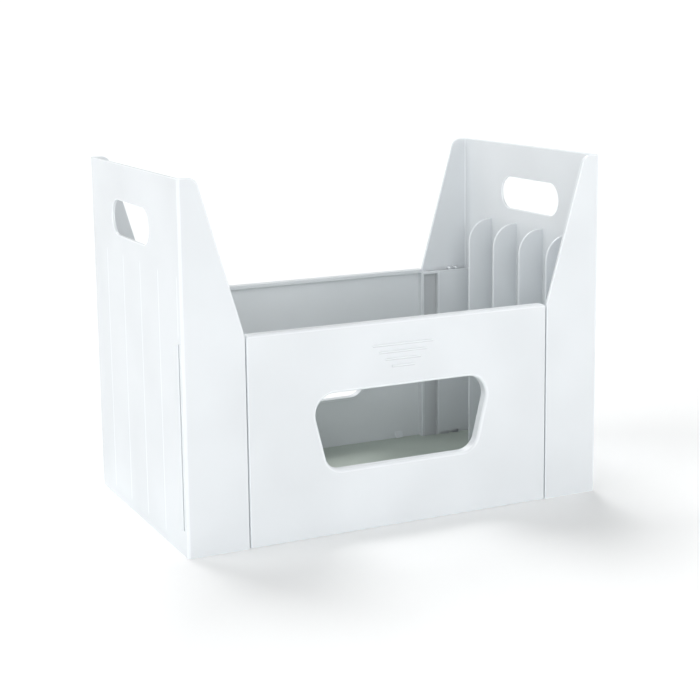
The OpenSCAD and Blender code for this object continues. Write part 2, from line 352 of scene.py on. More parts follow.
class Skin:
    """One closed moulded form: a front face, a back face and the profiles that join them"""

    def __init__(self, place):
        self.bm = bmesh.new()
        self.place = place

    def face(self, outer, holes, depth, lines=(), dots=()):
        """Fills a flat face between the outer loop and the holes."""
        loops = [outer, *holes]
        points, edges = [], []
        for loop in loops:
            first = len(points)
            points += loop
            edges += [(first + i, first + (i + 1) % len(loop)) for i in range(len(loop))]
        for a, b in lines:
            edges.append((len(points), len(points) + 1))
            points += [Vector(a), Vector(b)]
        points += [Vector(d) for d in dots]
        flat, _, faces, _, _, _ = delaunay_2d_cdt(points, edges, [], 0, WELD * 0.1)
        verts = [self.bm.verts.new(self.place(p.x, p.y, depth)) for p in flat]
        for f in faces:
            middle = sum((flat[i] for i in f), Vector((0, 0))) / len(f)
            if inside(middle, outer) and not any(inside(middle, h) for h in holes):
                self.bm.faces.new([verts[i] for i in f])

    def wall(self, rings, depths):
        """Joins rings of equal length, one after another."""
        rows = []
        for ring, depth in zip(rings, depths):
            rows.append([self.bm.verts.new(self.place(p.x, p.y, depth)) for p in ring])
        for low, high in zip(rows, rows[1:]):
            for i in range(len(low)):
                j = (i + 1) % len(low)
                self.bm.faces.new([low[i], low[j], high[j], high[i]])

    def build(self, outline, profile, holes=(), lines=(), dots=(), hold=0.0):
        """Makes the whole form. holes is a list of (outline, profile); their insets run outwards."""
        if hold:
            profile = with_hold(profile, hold)
            holes = [(hole, with_hold(hole_profile, hold)) for hole, hole_profile in holes]
        outer = [outline.ring(inset) for inset, _ in profile]
        self.wall(outer, [depth for _, depth in profile])
        cut = []
        for hole, hole_profile in holes:
            rings = [hole.ring(-inset) for inset, _ in hole_profile]
            self.wall(rings, [depth for _, depth in hole_profile])
            cut.append(rings)
        self.face(outer[0], [r[0] for r in cut], profile[0][1], lines, dots)
        self.face(outer[-1], [r[-1] for r in cut], profile[-1][1], lines, dots)
        return self.close()

    def close(self):
        """Welds the form and turns its faces outwards."""
        bm = self.bm
        bmesh.ops.remove_doubles(bm, verts=bm.verts, dist=WELD)
        bmesh.ops.dissolve_degenerate(bm, edges=bm.edges, dist=WELD)
        loose = [v for v in bm.verts if not v.link_faces]
        bmesh.ops.delete(bm, geom=loose, context="VERTS")
        bmesh.ops.recalc_face_normals(bm, faces=bm.faces)
        return bm


def slab(outline, thickness, place, edge, hold=0.0):
    """A flat form of one thickness with rounded edges."""
    return Skin(place).build(outline, slab_profile(thickness, edge), hold=hold)


def bar(low, high, edge):
    """A straight upright bar between two corners, with rounded edges."""
    x0, y0, z0 = low
    x1, y1, z1 = high
    return slab(box_outline(x0, y0, x1, y1, edge), z1 - z0, lambda u, v, w: (u, v, z0 + w), edge)


def stud(centre, radius, length, edge, direction):
    """A short round stud that stands along Y."""
    cx, cy, cz = centre
    square = box_outline(cx - radius, cz - radius, cx + radius, cz + radius, radius, 6)
    return slab(square, length, lambda u, v, w: (u, cy + direction * w, v), edge)


def combine(forms):
    """One bmesh that holds several separate closed forms."""
    joined = bmesh.new()
    for form in forms:
        mesh = bpy.data.meshes.new("form")
        form.to_mesh(mesh)
        form.free()
        joined.from_mesh(mesh)
        bpy.data.meshes.remove(mesh)
    return joined


def temporary(bm, name):
    """A scene object that holds a bmesh while it is being fused."""
    mesh = bpy.data.meshes.new(name)
    bm.to_mesh(mesh)
    bm.free()
    obj = bpy.data.objects.new(name, mesh)
    bpy.context.scene.collection.objects.link(obj)
    return obj


def fuse(body, steps, name):
    """Fuses forms into the body in turn. steps is a list of (operation, forms)."""
    obj = temporary(body, name)
    tools = []
    for i, (operation, forms) in enumerate(steps):
        tool = temporary(combine(forms), f"{name}_tool_{i}")
        modifier = obj.modifiers.new(f"fuse_{i}", "BOOLEAN")
        modifier.operation = operation
        modifier.solver = "EXACT"
        modifier.object = tool
        tools.append(tool)
    graph = bpy.context.evaluated_depsgraph_get()
    done = bpy.data.meshes.new_from_object(obj.evaluated_get(graph), depsgraph=graph)
    old = obj.data
    obj.modifiers.clear()
    obj.data = done
    done.name = name
    bpy.data.meshes.remove(old)
    for tool in tools:
        mesh = tool.data
        bpy.data.objects.remove(tool)
        bpy.data.meshes.remove(mesh)
    return obj


def is_strip(face):
    """True for a strip that is part of a rounded edge or of a fine line."""
    return 2 * face.calc_area() / max(e.calc_length() for e in face.edges) < STRIP


def rolled_polish_and_highlight(v):
    """How much polish and painted highlight an edge point gets, from 0 to 1, from how far the surface rolls
    over there.
    """
    bends = [math.degrees(e.calc_face_angle_signed(0.0)) for e in v.link_edges if len(e.link_faces) == 2]
    rolled = max((bend for bend in bends if bend < 60), default=0.0)
    return max((rolled - 8) / 9, 0.0)


def mark_surface(bm, marks):
    """Stores on each face corner how much polish and painted highlight an edge gets and how much painted
    shade lies there.

    marks gives, for a place, the least polish and highlight, the most that the edge's roll may give, and the
    painted shade, each from 0 to 1.
    """
    polish_highlight_layer = bm.loops.layers.float.new("polish_and_painted_highlight")
    # A layer of its own holds the painted shade
    painted_shade = bm.loops.layers.float.new("painted_shade")
    for v in bm.verts:
        least_polish_and_highlight, limit, painted_shade_share = marks(v.co)
        # Polish and painted highlight on edges that roll over, and wherever marks asks for them
        value = max(min(rolled_polish_and_highlight(v), limit), least_polish_and_highlight)
        for loop in v.link_loops:
            if is_strip(loop.face):
                loop[polish_highlight_layer] = value
            loop[painted_shade] = painted_shade_share


def no_marks(co):
    """Marks of a moulding with no fine lines or hollows of its own."""
    return 0.0, 1.0, 0.0


def finish_mesh(obj, turn, marks):
    """Tidies the moulding, marks its surface, moves it into place and sets smooth shading."""
    bm = bmesh.new()
    bm.from_mesh(obj.data)
    bmesh.ops.remove_doubles(bm, verts=bm.verts, dist=WELD)
    bmesh.ops.dissolve_degenerate(bm, edges=bm.edges, dist=WELD)
    bm.normal_update()
    mark_surface(bm, marks)
    bm.transform(turn)
    for face in bm.faces:
        face.smooth = True
    for edge in bm.edges:
        edge.smooth = edge.calc_face_angle(0.0) < SHARP_ANGLE
    bm.to_mesh(obj.data)
    bm.free()
    weighted = obj.modifiers.new("even_shading", "WEIGHTED_NORMAL")
    weighted.keep_sharp = True
    weighted.weight = 100


# ---------------- ends

class BentSheet:
    """The plan of an end: a sheet bent round two upright corners, outer face at x = 0"""

    def __init__(self, wall, ends, fillet):
        half = BOX_DEP / 2
        steps = 6
        outer_r, inner_r = ends.corner_r, fillet
        self.wall = wall
        arc = outer_r * math.pi / 2
        flat_half = half - outer_r
        self.reach = flat_half + arc + FLANGE_W - outer_r
        self.columns = []
        for k in range(steps + 1):
            angle = math.pi / 2 * k / steps
            s = flat_half + arc * k / steps
            outer = Vector((outer_r * (1 - math.cos(angle)), flat_half + outer_r * math.sin(angle)))
            inner_c = Vector((wall + inner_r, half - wall - inner_r))
            inner = inner_c + Vector((-inner_r * math.cos(angle), inner_r * math.sin(angle)))
            self.columns.append((s, outer, inner))
        self.columns.append((self.reach, Vector((FLANGE_W, half)), Vector((FLANGE_W, half - wall))))
        self.columns.insert(0, (0.0, Vector((0, 0)), Vector((wall, 0))))

    def splits(self):
        """Lines where the sheet changes direction."""
        bends = [s for s, _, _ in self.columns[1:-1]]
        bends = [bends[0] - HOLD, *bends, bends[-1] + HOLD]
        return [-s for s in reversed(bends)] + bends

    def place(self, s, z, depth):
        """Position of a point of the flat sheet."""
        t = min(abs(s), self.reach)
        for (s0, out0, in0), (s1, out1, in1) in zip(self.columns, self.columns[1:]):
            if t <= s1 + 1e-9:
                part = (t - s0) / (s1 - s0)
                break
        at = out0.lerp(out1, part).lerp(in0.lerp(in1, part), depth / self.wall)
        return Vector((at.x, math.copysign(at.y, s), z))

    def from_x(self, x):
        """Sheet coordinate of a place on the flange, x from the wall's outer face."""
        return self.reach - (FLANGE_W - x)


def fin_places(ends):
    """Y of each fin in the end's own frame."""
    return [ends.shift + (i - (ends.fin_count - 1) / 2) * ends.fin_pitch for i in range(ends.fin_count)]


def end_shell(walls, ends, panels):
    """The bent sheet with its sloped flanges, hand hole, tongue slit and sink lines."""
    sheet = BentSheet(walls.wall, ends, walls.fillet)
    top = sheet.from_x(ends.flange_top)
    reach, slope_r = sheet.reach, 3 * MM
    outline = Outline(
        [(-reach, 0), (reach, 0), (reach, PANEL_H), (top, BOX_H), (-top, BOX_H), (-reach, PANEL_H)],
        [FOOT_R, FOOT_R, slope_r, ends.flange_r, ends.flange_r, slope_r], 10, sheet.splits(),
    )
    hand = box_outline(
        ends.shift - ends.hand_w / 2, ends.hand_z - ends.hand_h / 2,
        ends.shift + ends.hand_w / 2, ends.hand_z + ends.hand_h / 2, ends.hand_h / 2, 16,
    )
    slit_y = -BOX_DEP / 2 + panels.wing_in - walls.clip
    wing_top = PANEL_H - panels.wing_drop
    slit_r = 0.6 * MM
    slit = box_outline(
        slit_y, panels.tongue_z - TONGUE_DROP, slit_y + panels.wing_t + 2 * walls.clip, wing_top, slit_r,
    )
    profile = slab_profile(walls.wall, walls.edge)
    flat_low, flat_high = walls.edge + HOLD, BOX_H - walls.edge - HOLD
    lines = [((s, flat_low), (s, flat_high)) for s in sheet.splits()]
    dots = []
    for y, foot in sink_lines(ends, panels):
        for offset in sink_offsets(ends):
            dots += [(y + offset, z) for z in sink_levels(foot, ends.fin_top - SINK_DROP)]
    bm = Skin(sheet.place).build(outline, profile, [(hand, profile), (slit, profile)], lines, dots, HOLD)
    press_sinks(bm, ends, panels)
    return bm


def sink_lines(ends, panels):
    """Place and foot of each sink line: one opposite each fin and one above the tongue's slit."""
    slit_y = -BOX_DEP / 2 + panels.wing_in + panels.wing_t / 2
    return [(y, 8 * MM) for y in fin_places(ends)] + [(slit_y, PANEL_H + 1 * MM)]


def sink_offsets(ends):
    """Places across one sink line."""
    return [ends.sink_half * k / 4 for k in range(-4, 5)]


def sink_levels(foot, head):
    """Heights along one sink line, close together at its two ends."""
    count = 12
    middle = [foot + SINK_FADE + (head - foot - 2 * SINK_FADE) * k / count for k in range(count + 1)]
    fades = [SINK_FADE * k / 3 for k in range(3)]
    return [foot + f for f in fades] + middle + [head - f for f in reversed(fades)]


def sink_share(co, ends, panels):
    """How deep a point of the outer face lies in a sink line, from 0 to 1."""
    head = ends.fin_top - SINK_DROP
    for y, foot in sink_lines(ends, panels):
        near = abs(co.y - y)
        if near < ends.sink_half and foot < co.z < head:
            across = math.cos(math.pi / 2 * near / ends.sink_half) ** 2
            return across * min((co.z - foot) / SINK_FADE, (head - co.z) / SINK_FADE, 1.0)
    return 0.0


def press_sinks(bm, ends, panels):
    """Presses the shallow sink lines into the outer face."""
    for v in bm.verts:
        if abs(v.co.x) < WELD:
            v.co.x += ends.sink_depth * sink_share(v.co, ends, panels)


def end_marks(walls, ends, panels):
    """The sink lines and inside corners of an end get polish and a painted highlight; its fins and outer
    corners get little or none.
    """
    inner_half = BOX_DEP / 2 - walls.wall
    fin_half = ends.fin_t / 2 + WELD
    roll, root = 2 * MM, 1 * MM
    corner_size = walls.fillet * 0.9

    def marks(co):
        if co.x < roll and abs(co.y) > BOX_DEP / 2 - roll and roll < co.z < BOX_H - roll:
            return 0.0, 0.0, 0.0
        # Polish and painted highlight along the sink lines
        if co.x < ends.sink_depth + WELD:
            return min(1.6 * sink_share(co, ends, panels), 1.0), 1.0, 0.0
        on_inside = co.x > walls.wall - WELD
        fin = any(abs(co.y - y) < fin_half for y in fin_places(ends))
        if fin and on_inside and co.z < ends.fin_top + WELD:
            return 0.0, (0.0 if co.x < walls.wall + root else 0.5), 0.0
        # Polish and painted highlight down the inside corners beside the flanges
        near_wall = on_inside and co.x - walls.wall < corner_size
        if near_wall and inner_half - corner_size < abs(co.y) < inner_half + WELD:
            return 0.8, 1.0, 0.0
        return 0.0, 1.0, 0.0
    return marks


def fin_place(y):
    """Placement of a slab that stands across Y, from y onwards."""
    return lambda u, v, w: Vector((u, y + w, v))


def end_moulding(walls, ends, panels, name):
    """One end in its own frame: outer face at x = 0, the box on its +X side."""
    inner_half = BOX_DEP / 2 - walls.wall
    root = walls.wall - JOIN
    fin_foot = FLOOR_TOP + walls.slide
    fin_tip = walls.wall + ends.fin_depth
    forms = []
    for y in fin_places(ends):
        outline = Outline(
            [(root, fin_foot), (fin_tip, fin_foot), (fin_tip, ends.fin_top), (root, ends.fin_top)],
            [0, FOOT_R, ends.fin_r, 0], 14,
        )
        forms.append(slab(outline, ends.fin_t, fin_place(y - ends.fin_t / 2), walls.edge, HOLD))
    wing_back = panels.wing_in + panels.wing_t
    wing_top = PANEL_H - panels.wing_drop
    # Two rails that guide the plain edge of the other panel's wing
    rail_t, rail_in = 1.6 * MM, 5 * MM
    for depth in (panels.wing_in - walls.slide - rail_t, wing_back + walls.slide):
        y = BOX_DEP / 2 - depth - rail_t
        tip = walls.wall + walls.slide + rail_in
        forms.append(bar((root, y, panels.tongue_z), (tip, y + rail_t, wing_top - TONGUE_DROP), FORM_R))
    # Two nubs over the top of each wing
    nub_r, nub_from, nub_gap, nub_edge = 1.3 * MM, 14 * MM, 7 * MM, 1.0 * MM
    for side in (-1, 1):
        for i in range(2):
            x = walls.wall + nub_from + i * nub_gap
            at = (x, side * (inner_half + JOIN), wing_top + nub_r + walls.clip)
            forms.append(stud(at, nub_r, wing_back - walls.wall + JOIN, nub_edge, -side))
    # The ledge starts a hair above the wall's foot, because flush faces fuse badly
    lift = 0.05 * MM
    ledge = bar(
        (root, -inner_half - JOIN, lift),
        (walls.wall + ends.ledge_w, inner_half + JOIN, walls.ledge - walls.slide), FORM_R,
    )
    return fuse(end_shell(walls, ends, panels), [("UNION", forms), ("UNION", [ledge])], name)


# ---------------- panels

def quarter():
    """Sine and cosine of each step of a quarter turn."""
    count = 3
    angles = [math.pi / 2 * k / count for k in range(count + 1)]
    return [(math.sin(a), math.cos(a)) for a in angles]


def panel_profiles(walls, panels):
    """Profiles round the panel's outline, in the order foot, right, top, left, and round its window."""
    edge, fillet = walls.edge, walls.fillet
    back, foot_fillet = panels.rim_in, 0.3 * MM

    def sides(foot, lip, top):
        return (foot, lip, top, lip)

    outline, window = [], []
    for share, depth in round_over(1.0, 6):
        side = panels.side_r * share
        outline.append((sides(side, side, panels.rim_r * share), depth * panels.rim_r))
    window += round_over(panels.win_roll, 6)
    for sine, cosine in quarter():
        outline.append((sides(*[edge * (1 - cosine)] * 3), back - edge * (1 - sine)))
        window.append((edge * (1 - cosine), back - edge * (1 - sine)))
    for sine, cosine in quarter():
        cut, depth = edge * (1 - sine), back - edge * (1 - cosine)
        outline.append((sides(walls.ledge - cut, panels.lip_t - cut, panels.bead_h - cut), depth))
        window.append((panels.win_lip_t - cut, depth))
    # The step from the bead down to the rim
    bead = back - panels.rim_t / 2
    outline.append((sides(walls.ledge, panels.lip_t, panels.bead_h), bead + 0.2 * MM))
    outline.append((sides(walls.ledge, panels.lip_t, panels.rim_t), bead - 0.3 * MM))
    for sine, cosine in quarter():
        depth = walls.wall + fillet * (1 - sine)
        grow = fillet * (1 - cosine)
        foot = walls.ledge + foot_fillet * (1 - cosine)
        outline.append((sides(foot, panels.lip_t + grow, panels.rim_t + grow), depth))
        window.append((panels.win_lip_t + grow, depth))
    return outline, window


def panel_half(walls):
    """Half the width of a panel's outer face."""
    return BOX_LEN / 2 - FLANGE_W - walls.seam


def panel_core(walls, panels):
    """Outer wall with its rolled rims and window."""
    half = panel_half(walls)
    outline = Outline(
        [(-half, 0), (half, 0), (half, PANEL_H), (-half, PANEL_H)],
        [FOOT_R, FOOT_R, panels.corner_r, panels.corner_r], 8,
    )
    window = Outline(
        [(-panels.win_half_low, panels.win_low), (panels.win_half_low, panels.win_low),
         (panels.win_half_high, panels.win_high), (-panels.win_half_high, panels.win_high)],
        [panels.win_r_low, panels.win_r_low, panels.win_r_high, panels.win_r_high], 14,
    )
    round_outline, round_window = panel_profiles(walls, panels)
    skin = Skin(lambda u, v, w: Vector((u, w, v)))
    return skin.build(outline, round_outline, [(window, round_window)], hold=HOLD)


def wing_form(walls, panels, side):
    """Channel, rib and wing beside the panel, as one upright form."""
    half = panel_half(walls)
    near = half - JOIN
    web_out = walls.wall + walls.slide
    web_in = web_out + panels.web_t
    rib = half + panels.channel_w
    rib_end = rib + panels.rib_t
    wing_back = panels.wing_in + panels.wing_t
    rib_in = wing_back + panels.rib_out
    tip = BOX_LEN / 2 - walls.wall - walls.slide
    corners = [
        (near, web_out), (rib_end, web_out), (rib_end, panels.wing_in), (tip, panels.wing_in),
        (tip, wing_back), (rib_end, wing_back), (rib_end, rib_in), (rib, rib_in),
        (rib, web_in), (near, web_in),
    ]
    radii = [0] + [FORM_R] * 8 + [0]
    if side < 0:
        corners = [(-x, y) for x, y in reversed(corners)]
        radii = list(reversed(radii))
    height = PANEL_H - panels.wing_drop - walls.ledge
    return slab(Outline(corners, radii, 4), height, lambda u, v, w: Vector((u, v, walls.ledge + w)), FORM_R)


def wing_cap(walls, panels, side):
    """The small roof over the channel."""
    half = panel_half(walls)
    top = PANEL_H - panels.wing_drop
    rib_in = panels.wing_in + panels.wing_t + panels.rib_out
    inset = 0.05 * MM
    x0, x1 = sorted([side * (half - JOIN), side * (half + panels.channel_w + JOIN)])
    return bar(
        (x0, walls.wall + walls.slide + inset, top - panels.rim_t), (x1, rib_in - inset, top - inset), FORM_R)


def clip_form(walls, panels, base, x):
    """Wedge that snaps over the edge of the base plate."""
    low, root, tip = FLOOR_TOP + walls.clip, walls.wall - JOIN, walls.wall + base.clip_in
    nose, slim, radius, edge = 0.8 * MM, 0.3 * MM, 0.3 * MM, 0.25 * MM
    outline = Outline(
        [(root, low), (tip, low), (tip, low + nose), (walls.wall + slim, low + base.clip_h),
         (root, low + base.clip_h)],
        [0, radius, radius, radius, 0], 4,
    )
    x0 = x - base.clip_w / 2
    return slab(outline, base.clip_w, lambda u, v, w: Vector((x0 + w, u, v)), edge)


def ridge_forms(panels):
    """Raised grip ridges, each shorter than the one above."""
    out = panels.ridge_out
    forms = []
    for i in range(panels.ridge_count):
        long = panels.ridge_long - i * panels.ridge_step
        z = PANEL_H - panels.ridge_drop - i * panels.ridge_pitch
        half = panels.ridge_h / 2
        outline = box_outline(-long / 2, z - half, long / 2, z + half, half, 6)
        forms.append(slab(outline, out + JOIN, lambda u, v, w: Vector((u, w - out, v)), 0.75 * out))
    return forms


def panel_marks(walls, panels):
    """Painted shade lies in the narrow upright channels and under the ridges, whose tops get polish and a
    painted highlight.
    """
    half = panel_half(walls)
    web_out, near_web = walls.wall + walls.slide, 1 * MM

    def marks(co):
        # Ridges: polish and painted highlight on the upper half, painted shade on the lower half
        if co.y < -WELD:
            row = (PANEL_H - panels.ridge_drop - co.z) / panels.ridge_pitch
            return (0.0, 0.0, 0.5) if row > round(row) else (0.7, 1.0, 0.0)
        # Painted shade on the web at the foot of each channel
        across = half < abs(co.x) < half + panels.channel_w + WELD
        deep = web_out < co.y < web_out + panels.web_t + near_web
        return 0.0, 1.0, float(across and deep)
    return marks


def relief_places(walls, base):
    """Middles of the relief slots along X, two at each end."""
    bridge, from_end = 1.8 * MM, 10.5 * MM
    first = BOX_LEN / 2 - walls.wall - walls.slide - from_end - base.relief_l / 2
    return [side * (first - i * (base.relief_l + bridge)) for side in (-1, 1) for i in range(2)]


def relief_notches(walls, panels, base):
    """Notches in the foot of the wings, which open into the relief slots of the base."""
    half = base.relief_l / 2
    back = panels.wing_in + panels.wing_t
    return [
        bar((x - half, panels.wing_in - JOIN, 0), (x + half, back + JOIN, FLOOR_TOP + base.relief_h), SLOT_R)
        for x in relief_places(walls, base)
    ]


def panel_moulding(walls, panels, base, name):
    """One panel in its own frame: outer face at y = 0, the box on its +Y side."""
    tip = BOX_LEN / 2 - walls.wall - walls.slide
    wing_top = PANEL_H - panels.wing_drop
    # The tongue is thinner than the wing, so that it clears the side of the slit
    thinner, inset = 0.8 * MM, 0.02 * MM
    tongue = bar(
        (-tip - walls.slide - panels.tongue_in, panels.wing_in + thinner, panels.tongue_z),
        (-tip + JOIN, panels.wing_in + panels.wing_t - inset, wing_top - TONGUE_DROP), FORM_R,
    )
    first = [wing_form(walls, panels, side) for side in (-1, 1)]
    first += [clip_form(walls, panels, base, side * base.clip_x) for side in (-1, 1)]
    first += ridge_forms(panels)
    second = [wing_cap(walls, panels, side) for side in (-1, 1)] + [tongue]
    steps = [("UNION", first), ("UNION", second), ("DIFFERENCE", relief_notches(walls, panels, base))]
    return fuse(panel_core(walls, panels), steps, name)


# ---------------- base

def base_moulding(walls, ends, panels, base, name):
    """Flat plate with ribs below and relief slots beside the wings."""
    panel_in = max(panels.rim_in, panels.wing_in + panels.wing_t + panels.rib_out)
    wide = panel_half(walls) - panels.rim_t - walls.clip
    deep = BOX_DEP / 2 - walls.wall - walls.clip
    long = BOX_LEN / 2 - walls.wall - walls.slide
    narrow = BOX_DEP / 2 - panel_in - walls.clip
    corners = [
        (long, -narrow), (long, narrow), (wide, narrow), (wide, deep), (-wide, deep), (-wide, narrow),
        (-long, narrow), (-long, -narrow), (-wide, -narrow), (-wide, -deep), (wide, -deep), (wide, -narrow),
    ]
    outline = Outline(corners, [FORM_R] * len(corners), 4)
    plate_t = FLOOR_TOP - walls.ledge
    plate = slab(outline, plate_t, lambda u, v, w: Vector((u, v, walls.ledge + w)), FORM_R, HOLD)
    reach = long - ends.ledge_w - 2 * walls.slide
    half, rib_top, lift = base.rib_w / 2, walls.ledge + JOIN, 0.01 * MM
    rows, cols = [], []
    for i in range(base.rib_rows):
        y = (i - (base.rib_rows - 1) / 2) * 2 * narrow / (base.rib_rows + 1)
        rows.append(bar((-reach, y - half, 0), (reach, y + half, rib_top), FORM_R))
    # The cross ribs start a hair above the long ones, because flush faces fuse badly
    for i in range(base.rib_cols):
        x = (i - (base.rib_cols - 1) / 2) * 2 * reach / (base.rib_cols + 1)
        cols.append(bar((x - half, -narrow, lift), (x + half, narrow, rib_top), FORM_R))
    slots = [
        bar((x - base.relief_l / 2, side * narrow - base.relief_w, walls.ledge - JOIN),
            (x + base.relief_l / 2, side * narrow + base.relief_w, FLOOR_TOP + JOIN), SLOT_R)
        for x in relief_places(walls, base) for side in (-1, 1)
    ]
    return fuse(plate, [("DIFFERENCE", slots), ("UNION", rows), ("UNION", cols)], name)


# ---------------- materials

def add_node(tree, kind, values=None, links=None, **settings):
    """Adds one node, with its settings, its input values and the links that come into it."""
    node = tree.nodes.new(kind)
    for key, value in settings.items():
        setattr(node, key, value)
    for key, value in (values or {}).items():
        node.inputs[key].default_value = value
    for key, source in (links or {}).items():
        tree.links.new(source, node.inputs[key])
    return node


def noise(tree, where, size, detail, roughness=0.5):
    """A soft pattern with features of about the given size."""
    values = {"Scale": 1 / size, "Detail": detail, "Roughness": roughness}
    return add_node(tree, "ShaderNodeTexNoise", values, {"Vector": where}).outputs["Fac"]


def bump(tree, strength, distance, links):
    """Bumps of the given strength and height."""
    values = {"Strength": strength, "Distance": distance}
    return add_node(tree, "ShaderNodeBump", values, links).outputs["Normal"]


def blend(tree, kind, factor, values, links=None):
    """A mix of A and B, as a FLOAT or as an RGBA colour."""
    sources = {"Factor": factor, **(links or {})}
    return add_node(tree, "ShaderNodeMix", values, sources, data_type=kind).outputs["Result"]


def between(tree, source, low, high, to_low=0.0, to_high=1.0):
    """The source stretched from one range to another."""
    values = {"From Min": low, "From Max": high, "To Min": to_low, "To Max": to_high}
    return add_node(tree, "ShaderNodeMapRange", values, {"Value": source}).outputs["Result"]


def tint(colour, factor):
    """The colour made lighter or darker."""
    return tuple(min(c * factor, 1.0) for c in colour[:3]) + (1.0,)


def new_material(name):
    """An empty material, its node tree and the place on the object."""
    material = bpy.data.materials.new(name)
    material.use_nodes = True
    material.node_tree.nodes.clear()
    where = add_node(material.node_tree, "ShaderNodeTexCoord").outputs["Object"]
    return material, material.node_tree, where


def finish_material(tree, values, links):
    """Adds the shader and the output."""
    shader = add_node(tree, "ShaderNodeBsdfPrincipled", values, links)
    add_node(tree, "ShaderNodeOutputMaterial", None, {"Surface": shader.outputs["BSDF"]})


def moulded_polystyrene(name, colour, roughness):
    """High-impact polystyrene, injection moulded in a spark-eroded tool.

    The tool leaves a fine grain that makes the highlights satin, and the flat walls wave a little
    where the melt cooled. Marked edges get polish and a painted highlight, and marked hollows get painted
    shade.
    """
    material, tree, where = new_material(name)
    edge = add_node(tree, "ShaderNodeAttribute", attribute_name="polish_and_painted_highlight").outputs["Fac"]
    painted_shade = add_node(tree, "ShaderNodeAttribute", attribute_name="painted_shade").outputs["Fac"]
    # The real grain is about 0.05 mm; it is drawn at 0.8 mm so that it shows
    grain = noise(tree, where, 0.8 * MM, 2.0, 0.6)
    # Slow waves of a cooled flat wall, about 70 mm long
    wave = noise(tree, where, 70 * MM, 1.0, 0.4)
    # Patches where hands and shelves have rubbed the surface, about 25 mm across
    rub = noise(tree, where, 25 * MM, 5.0, 0.62)
    waves = bump(tree, 0.35, 0.5 * MM, {"Height": wave})
    surface = bump(tree, 0.12, 0.05 * MM, {"Height": grain, "Normal": waves})
    gloss = between(tree, rub, 0.3, 0.7, roughness - 0.05, roughness + 0.06)
    gloss = blend(tree, "FLOAT", edge, {"B": roughness - 0.12}, {"A": gloss})
    # The tone varies a little with the waves; the marked edges get a painted highlight and the marked hollows
    # painted shade
    tone = between(tree, wave, 0.35, 0.7)
    shade = blend(tree, "RGBA", tone, {"A": tint(colour, 1.02), "B": tint(colour, 0.965)})
    # Painted highlight on the marked edges
    shade = blend(tree, "RGBA", edge, {"B": tint(colour, 1.16)}, {"A": shade})
    # Painted shade in the marked hollows
    shade = blend(tree, "RGBA", painted_shade, {"B": tint(colour, 0.72)}, {"A": shade})
    links = {"Base Color": shade, "Roughness": gloss, "Normal": surface}
    finish_material(tree, {"IOR": 1.59, "Metallic": 0.0}, links)
    return material


def opal_acrylic(name, colour):
    """Opal acrylic sheet with a matt face, lit a little from below, so that shadows on it stay pale."""
    material, tree, where = new_material(name)
    flecks = bump(tree, 0.05, 0.1 * MM, {"Height": noise(tree, where, 3 * MM, 3.0)})
    values = {
        "Base Color": colour, "Roughness": 0.85, "IOR": 1.49,
        "Emission Color": colour, "Emission Strength": 0.08,
    }
    finish_material(tree, values, {"Normal": flecks})
    return material


# ---------------- pieces

def settle(obj, turn, material, node, body, marks=no_marks):
    """Puts a finished moulding in place of its CAD node."""
    finish_mesh(obj, turn, marks)
    obj.data.materials.clear()
    obj.data.materials.append(material)
    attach(obj, body)
    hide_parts(node)


class HOLDER_OT_build_ends(bpy.types.Operator):
    """Build the two ends from one moulding, one of them turned half round"""
    bl_idname = "holder.build_ends"
    bl_label = "Build Ends"

    def execute(self, context):
        scene = context.scene
        sizes = (scene.holder_walls, scene.holder_ends, scene.holder_panels)
        colour = scene.holder_finish.end_colour
        material = moulded_polystyrene("satin_polystyrene_ends", colour, END_ROUGHNESS)
        out = Matrix.Translation((-BOX_LEN / 2, 0, 0))
        places = (("left_end", "left_wall", out), ("right_end", "right_wall", HALF_TURN @ out))
        for node, body, turn in places:
            obj = end_moulding(*sizes, f"{node}_moulding")
            settle(obj, turn, material, node, body, end_marks(*sizes))
        return {"FINISHED"}


class HOLDER_OT_build_panels(bpy.types.Operator):
    """Build the front and rear panels from one moulding, one of them turned half round"""
    bl_idname = "holder.build_panels"
    bl_label = "Build Panels"

    def execute(self, context):
        scene = context.scene
        walls, panels = scene.holder_walls, scene.holder_panels
        colour = scene.holder_finish.panel_colour
        material = moulded_polystyrene("satin_polystyrene_panels", colour, PANEL_ROUGHNESS)
        out = Matrix.Translation((0, -BOX_DEP / 2, 0))
        for node, turn in (("front_panel", out), ("rear_panel", HALF_TURN @ out)):
            obj = panel_moulding(walls, panels, scene.holder_base, f"{node}_moulding")
            settle(obj, turn, material, node, "tray", panel_marks(walls, panels))
        return {"FINISHED"}


class HOLDER_OT_build_base(bpy.types.Operator):
    """Build the base plate"""
    bl_idname = "holder.build_base"
    bl_label = "Build Base"

    def execute(self, context):
        scene = context.scene
        sizes = (scene.holder_walls, scene.holder_ends, scene.holder_panels, scene.holder_base)
        colour = scene.holder_finish.base_colour
        material = moulded_polystyrene("satin_polystyrene_base", colour, BASE_ROUGHNESS)
        obj = base_moulding(*sizes, "base_panel_moulding")
        settle(obj, Matrix.Identity(4), material, "base_panel", "tray")
        return {"FINISHED"}


class HOLDER_OT_build_stage(bpy.types.Operator):
    """Build the pale floor, the soft lights and the camera"""
    bl_idname = "holder.build_stage"
    bl_label = "Build Stage"

    def execute(self, context):
        stage = context.scene.holder_stage
        build_floor(stage)
        build_surround(stage)
        build_lights()
        build_camera(stage)
        context.scene.view_settings.view_transform = "Standard"
        return {"FINISHED"}


